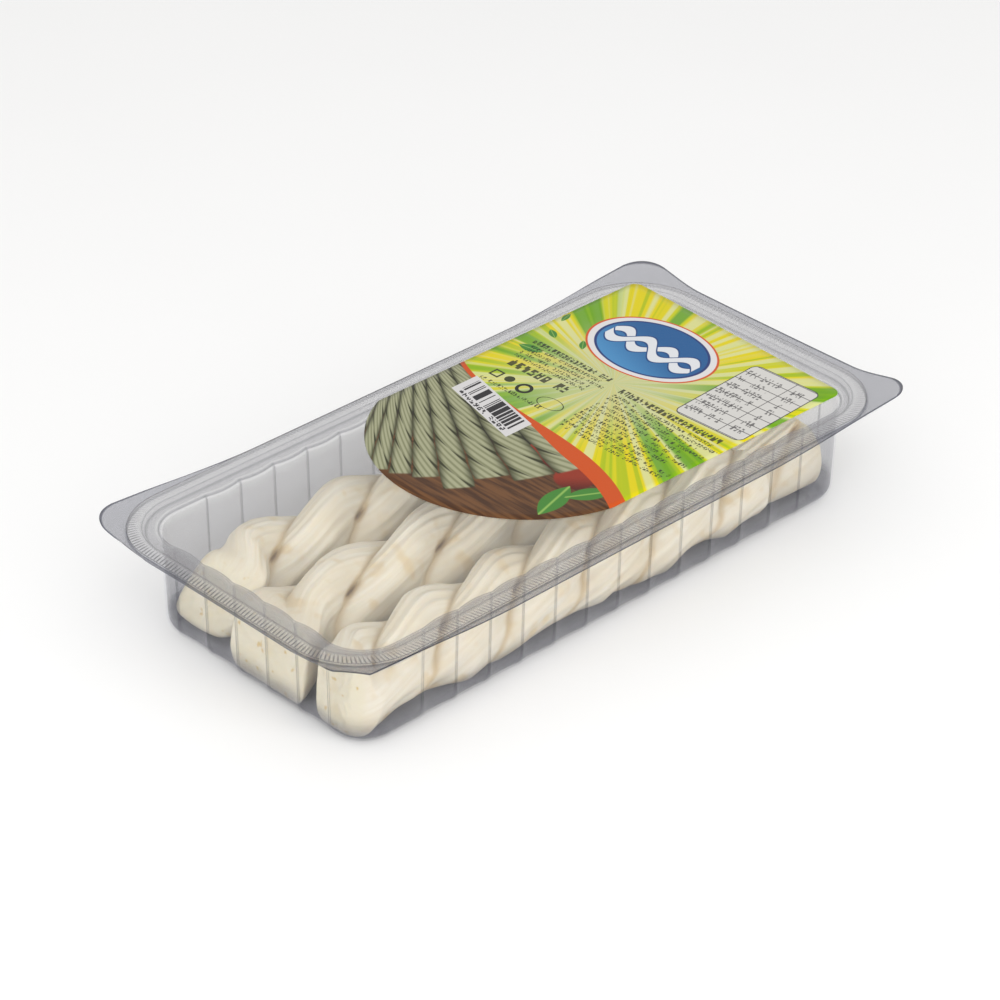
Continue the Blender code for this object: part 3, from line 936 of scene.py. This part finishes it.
def make_label(finish):
    """The label: its outline, shrunk towards its middle in rings, over a rounded edge."""
    low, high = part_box("label")
    top = high.z - FILM_DROP - 0.2 * MM
    base = low.z - FILM_DROP - 0.2 * MM
    edge = label_edge()
    middle = np.array([(low.x + high.x) / 2, (low.y + high.y) / 2])
    shares = (0.02, 0.25, 0.5, 0.75, 0.95, 0.999)
    upper = [ring_at((middle + (edge - middle) * share).T, top) for share in shares]
    side = ring_at(edge.T, (top + base) / 2)
    lower = [ring_at((middle + (edge - middle) * share).T, base) for share in shares[::-1]]
    label = closed_surface("printed_label", np.array([*upper, side, *lower]), finish)
    label.visible_shadow = False
    return label


def rope_relief(chance, angle, x):
    """Soft ridges along the fibres of a strand, from -1 to 1 or so.

    A sum of cosines of multiples of the strand's own angle, each drifting slowly along
    the rope, so that ridges join and part.
    """
    total = np.zeros_like(angle)
    for count in range(6, 23):
        size = 1.0 / (1.0 + ((count - 11) / 4.5) ** 2)
        drift = chance.uniform(-0.07, 0.07)
        phase = chance.uniform(0.0, 2 * pi)
        total += size * np.cos(count * angle + phase + drift * x / MM)
    return total / 3.2


def lumps(chance, points, length, count=9):
    """A smooth field of lumps about a length across, from -1 to 1 or so: a sum of waves."""
    total = np.zeros(points.shape[:-1])
    for _ in range(count):
        way = chance.normal(size=3)
        way *= 2 * pi / (length * np.linalg.norm(way) * chance.uniform(0.7, 1.5))
        total += np.cos(points @ way + chance.uniform(0.0, 2 * pi))
    return total / np.sqrt(count)


def strand_reach(angle, offset):
    """The distance to the outline of two overlapping circles, each 1 - offset in radius."""
    along = offset * np.cos(angle)
    return np.abs(along) + np.sqrt((1.0 - offset) ** 2 - (offset * np.sin(angle)) ** 2)


def lean_back(turned, lean):
    """Solve turned = angle + lean * sin(angle), which slants the twist on top of a rope."""
    table = np.linspace(-pi, pi, 721)
    whole = 2 * pi * np.round(turned / (2 * pi))
    return np.interp(turned - whole, table + lean * np.sin(table), table)


def pressed(value):
    """Hold a share within about 1, as x over the eighth root of 1 + x to the eighth."""
    return 1.04 * value / (1.0 + np.abs(value) ** PRESS) ** (1.0 / PRESS)


def keep_in_tray(points):
    """Push points that stand out of the tray's inner face back to a small gap inside it.

    The inner face is a rounded rectangle in plan, drawn in by the wall's draft and, near
    the floor, by the rounded bottom edge.
    """
    x, y, z = points[..., 0], points[..., 1], points[..., 2]
    half = np.array([BODY_LENGTH / 2, BODY_WIDTH / 2]) - BODY_CORNER
    out_x = np.abs(x - BODY_CENTRE[0]) - half[0]
    out_y = np.abs(y - BODY_CENTRE[1]) - half[1]
    beyond_x = np.maximum(out_x, 0.0)
    beyond_y = np.maximum(out_y, 0.0)
    beyond = np.hypot(beyond_x, beyond_y)
    radius = BOTTOM_FILLET - SHEET
    below = np.clip((BOTTOM_FILLET - z) / radius, 0.0, 1.0)
    inward = BODY_DRAFT * (1.0 - z / LEDGE_TOP) + SHEET + WALL_GAP
    inward += FLUTE_DEPTH * (1.0 - below) + radius * (1.0 - np.sqrt(1.0 - below**2))
    room = np.maximum(BODY_CORNER - inward, 1e-6)
    scale = np.minimum(room / np.maximum(beyond, 1e-9), 1.0)
    new_x = BODY_CENTRE[0] + np.sign(x - BODY_CENTRE[0]) * (half[0] + beyond_x * scale)
    new_y = BODY_CENTRE[1] + np.sign(y - BODY_CENTRE[1]) * (half[1] + beyond_y * scale)
    x = np.where(out_x > 0.0, new_x, x)
    y = np.where(out_y > 0.0, new_y, y)
    return np.stack([x, y, z], axis=-1)


def make_rope(node, sizes, finish):
    """One twisted cheese rope along X with its cut ends.

    A section is the outline of two overlapping circles, each a strand. It turns half a
    turn in each half twist, and leans so that the crevices run more along the rope on its
    top. Low down it is fuller and squarer, pressed against the floor and its neighbours.
    Towards -X the section passes over into a rounded block, as the cut end fills the tray
    there. Fibre ridges follow each strand's own angle, which turns back along the rope.
    """
    centre_y, half_width, half_height, crevice_x, half_twist, lean, end, stop, seed = sizes
    end_y, end_low, end_half_width, end_half_height = (value * MM for value in end)
    chance = np.random.default_rng(seed)
    low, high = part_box(node)
    around = (np.arange(ROPE_AROUND) + 0.5) * 2 * pi / ROPE_AROUND
    turn = np.linspace(0.0, pi / 2, 8)
    rim, inset = END_ROUND if centre_y < 20 else (5.0 * MM, 0.34)
    cap_share = np.linspace(0.04, 0.92, CUT_RINGS) * (1.0 - inset)
    cap_share = np.concatenate([cap_share, 1.0 - inset * (1.0 - np.sin(turn))])
    cap_x = np.concatenate([np.zeros(CUT_RINGS), rim * (1.0 - np.cos(turn))])
    length = high.x - low.x
    inner = np.linspace(rim, length - rim, ROPE_SECTIONS)[1:-1]
    x = low.x + np.concatenate([cap_x, inner, length - cap_x[::-1]])
    share = np.concatenate([cap_share, np.ones(inner.size), cap_share[::-1]])[:, None]
    cut = np.concatenate([np.ones(CUT_RINGS), np.linspace(1, 0, 8), np.zeros(inner.size)])
    cut = np.concatenate([cut, np.linspace(0, 1, 8), np.ones(CUT_RINGS)])[:, None]
    angle = np.broadcast_to(around, (x.size, ROPE_AROUND))
    x = np.broadcast_to(x[:, None], angle.shape)
    spin = pi * (x - crevice_x * MM) / (half_twist * MM)
    place = lean_back(angle - pi / 2 + spin, lean)
    offset = STRAND_OFFSET + TOP_OFFSET * np.cos(place)
    reach = strand_reach(angle, offset)
    side = np.where(np.cos(angle) >= 0.0, 1.0, -1.0)
    own = np.arctan2(reach * np.sin(angle), (reach * np.cos(angle) - side * offset) * side)
    strand_angle = own * side + 0.97 * spin + (1.0 - side) * 1.7
    crevice = np.exp(-((np.abs(np.cos(angle)) / 0.2) ** 2))
    pit = crevice * bell(np.remainder(place + 0.6 + pi, 2 * pi) - pi, 0.17)
    outward = smoothstep(np.abs(np.cos(angle)) / 0.35)
    beyond = 0.0
    if stop is not None:
        alone = np.sqrt(0.66**2 - (0.14 * np.sin(angle)) ** 2) - 0.14 * np.cos(angle)
        beyond = smoothstep((x / MM - stop) / 0.8)
        reach = reach + (alone - reach) * beyond
    swell = np.sin(2 * pi * (x - crevice_x * MM) / ROPE_SWELL_LENGTH)
    girth = ROPE_FILL * (1.0 - ROPE_SWELL * (1.0 + swell) / 2)
    ridge = rope_relief(chance, strand_angle, x)
    reach = (reach + 0.022 * ridge * outward * (1.0 - cut * 0.8) - 0.16 * pit) * girth
    lower = smoothstep((np.abs(place) - pi / 3) / (pi / 3))
    reach = (reach + (1.0 - reach) * LOW_EVEN * lower) * (1.0 + LOW_FILL * lower)
    flat_y = pressed(reach * np.sin(place)) * half_width * MM
    flat_z = reach * np.cos(place)
    flat_z = np.where(flat_z < 0.0, pressed(flat_z), flat_z) * half_height * MM
    low_round = smoothstep((np.abs(place) - 1.3) / 0.45) * np.interp(x / MM, *LOW_ROUND)
    low_round = low_round * (1.0 - beyond)
    plain = 1.0 + 0.022 * ridge * outward
    flat_y = flat_y + (plain * np.sin(place) * half_width * MM - flat_y) * low_round
    flat_z = flat_z + (plain * np.cos(place) * half_height * MM - flat_z) * low_round
    block = np.abs(np.sin(place)) ** END_POWER + np.abs(np.cos(place)) ** END_POWER
    block = block ** (-1.0 / END_POWER)
    near = smoothstep(1.0 - (x - low.x) / END_LENGTH)
    flat_y = flat_y + (block * np.sin(place) * end_half_width - flat_y) * near * 0.95
    flat_z = flat_z + (block * np.cos(place) * end_half_height - flat_z) * near * 0.95
    middle_y = centre_y * MM + (end_y - centre_y * MM) * near + beyond * 3.2 * MM
    rest = ROPE_FLOOR + half_height * MM
    middle_z = rest + (end_low + end_half_height - rest) * near
    bulge = lumps(chance, np.stack([x, flat_y, flat_z], axis=-1), 26 * MM) * 0.012
    bulge += lumps(chance, np.stack([x, flat_y, flat_z], axis=-1), 9 * MM) * 0.007
    y = middle_y + flat_y * share * (1.0 + bulge - 0.012)
    z = middle_z + flat_z * share * (1.0 + bulge - 0.012)
    points = np.stack([x, y, np.maximum(z, ROPE_FLOOR)], axis=-1)
    rough = lumps(chance, points, 5 * MM) * 0.30 + lumps(chance, points, 2.2 * MM) * 0.12
    face = np.where(x < (low.x + high.x) / 2, 1.0, -1.0)
    points[..., 0] += face * (np.abs(rough) + 0.1) * MM * cut * (1.0 - share**8 * 0.7)
    lean_x, lean_y = END_LEAN[node]
    above = (points[..., 2] - middle_z) * near
    points[..., 0] += above * lean_x
    points[..., 1] += above * lean_y
    if stop is not None:
        points[..., 0] += smoothstep((x / MM - stop) / 20.0) * 5.0 * MM
    points = keep_in_tray(points)
    across = strand_angle * (1.0 - STRAND_OFFSET) * half_width + (1.0 - side) * 40.0
    # Painted shade for the cheese's colour: a share in the crevices, most at the pits, fading to none at the
    # -X block.
    crevice_shade = crevice * (1.0 - near) * (0.3 + 0.9 * pit)
    fibre = np.stack([across, x / MM, crevice_shade], axis=-1)
    cut_share = np.broadcast_to(cut, x.shape)
    name = node.replace("cheese_", "twisted_")
    return closed_surface(name, points, finish, fibre=fibre, cut=cut_share)


# ----------------------------------------------------------------------- stage


def make_floor(finish):
    """A plain pale floor just under the pack."""
    half = 3.0
    mesh = bpy.data.meshes.new("floor")
    corners = [(-half, -half, 0.0), (half, -half, 0.0), (half, half, 0.0), (-half, half, 0.0)]
    mesh.from_pydata([(x, y, -0.2 * MM) for x, y, _ in corners], [], [(0, 1, 2, 3)])
    mesh.materials.append(finish)
    floor = bpy.data.objects.new("floor", mesh)
    bpy.context.scene.collection.objects.link(floor)


def soft_light(name, place, target, size, power, colour=(1.0, 1.0, 1.0)):
    """A square area light that faces a target."""
    light = bpy.data.lights.new(name, "AREA")
    light.shape = "SQUARE"
    light.size = size
    light.energy = power
    light.color = colour
    lamp = bpy.data.objects.new(name, light)
    lamp.location = place
    lamp.rotation_euler = (Vector(target) - Vector(place)).to_track_quat("-Z", "Y").to_euler()
    lamp.visible_glossy = False
    bpy.context.scene.collection.objects.link(lamp)


def light_scene():
    """Soft studio light: an even pale surround and large lamps above and to the sides."""
    world = bpy.data.worlds.new("studio")
    world.use_nodes = True
    background = world.node_tree.nodes["Background"]
    background.inputs["Color"].default_value = (1.0, 0.995, 0.985, 1.0)
    background.inputs["Strength"].default_value = 0.70
    bpy.context.scene.world = world
    middle = (0.0, 0.0, 0.015)
    soft_light("overhead", (-0.4, -0.3, 1.2), middle, 1.1, 3.6)
    soft_light("left", (-1.2, -0.2, 0.46), middle, 0.9, 7.4)
    soft_light("front", (0.2, -1.2, 0.42), middle, 0.9, 8.4)


def make_camera():
    """The camera: a long lens from the front left, looking down on the pack."""
    turn = radians(-44.337)
    tilt = radians(32.049)
    roll = radians(0.596)
    distance = 0.96308
    target = Vector((0.00007, 0.00481, 0.015))
    forward = Vector((cos(tilt) * sin(-turn), cos(tilt) * cos(turn), -sin(tilt)))
    side = forward.cross(Vector((0.0, 0.0, 1.0))).normalized()
    up = side.cross(forward)
    side, up = side * cos(roll) + up * sin(roll), up * cos(roll) - side * sin(roll)
    place = target - forward * distance
    columns = (side, up, -forward)
    matrix = Matrix([[*(column[row] for column in columns), place[row]] for row in range(3)] + [[0, 0, 0, 1]])
    data = bpy.data.cameras.new("camera")
    data.lens = 132.88
    data.sensor_width = 36.0
    data.clip_start = 0.01
    camera = bpy.data.objects.new("camera", data)
    camera.matrix_world = matrix
    bpy.context.scene.collection.objects.link(camera)
    bpy.context.scene.camera = camera


def dress(piece, node):
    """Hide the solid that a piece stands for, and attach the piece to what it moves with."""
    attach(piece, "root")
    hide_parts(node)


make_camera()
tray_finish = clear_plastic(
    "clear_tray_plastic", (0.97, 0.97, 0.975), srgb(146, 146, 152), (0.8, 0.6), 0.6, 0.07
)
film_finish = clear_plastic(
    "clear_film_plastic", (0.99, 0.99, 0.99), srgb(218, 214, 206), (0.0, 1.0), 0.5, 0.05
)
cheese_finish = cheese()
dress(make_tray(tray_finish), "tray")
dress(make_film(film_finish), "lid_film")
dress(make_label(label_print()), "label")
for rope_node, rope_sizes in ROPES.items():
    dress(make_rope(rope_node, rope_sizes, cheese_finish), rope_node)
make_floor(pale_floor())
light_scene()
bpy.context.scene.view_settings.view_transform = "Standard"
bpy.context.scene.cycles.transparent_max_bounces = 18
bpy.context.scene.cycles.max_bounces = 4
bpy.context.scene.cycles.diffuse_bounces = 2
bpy.context.scene.cycles.glossy_bounces = 2
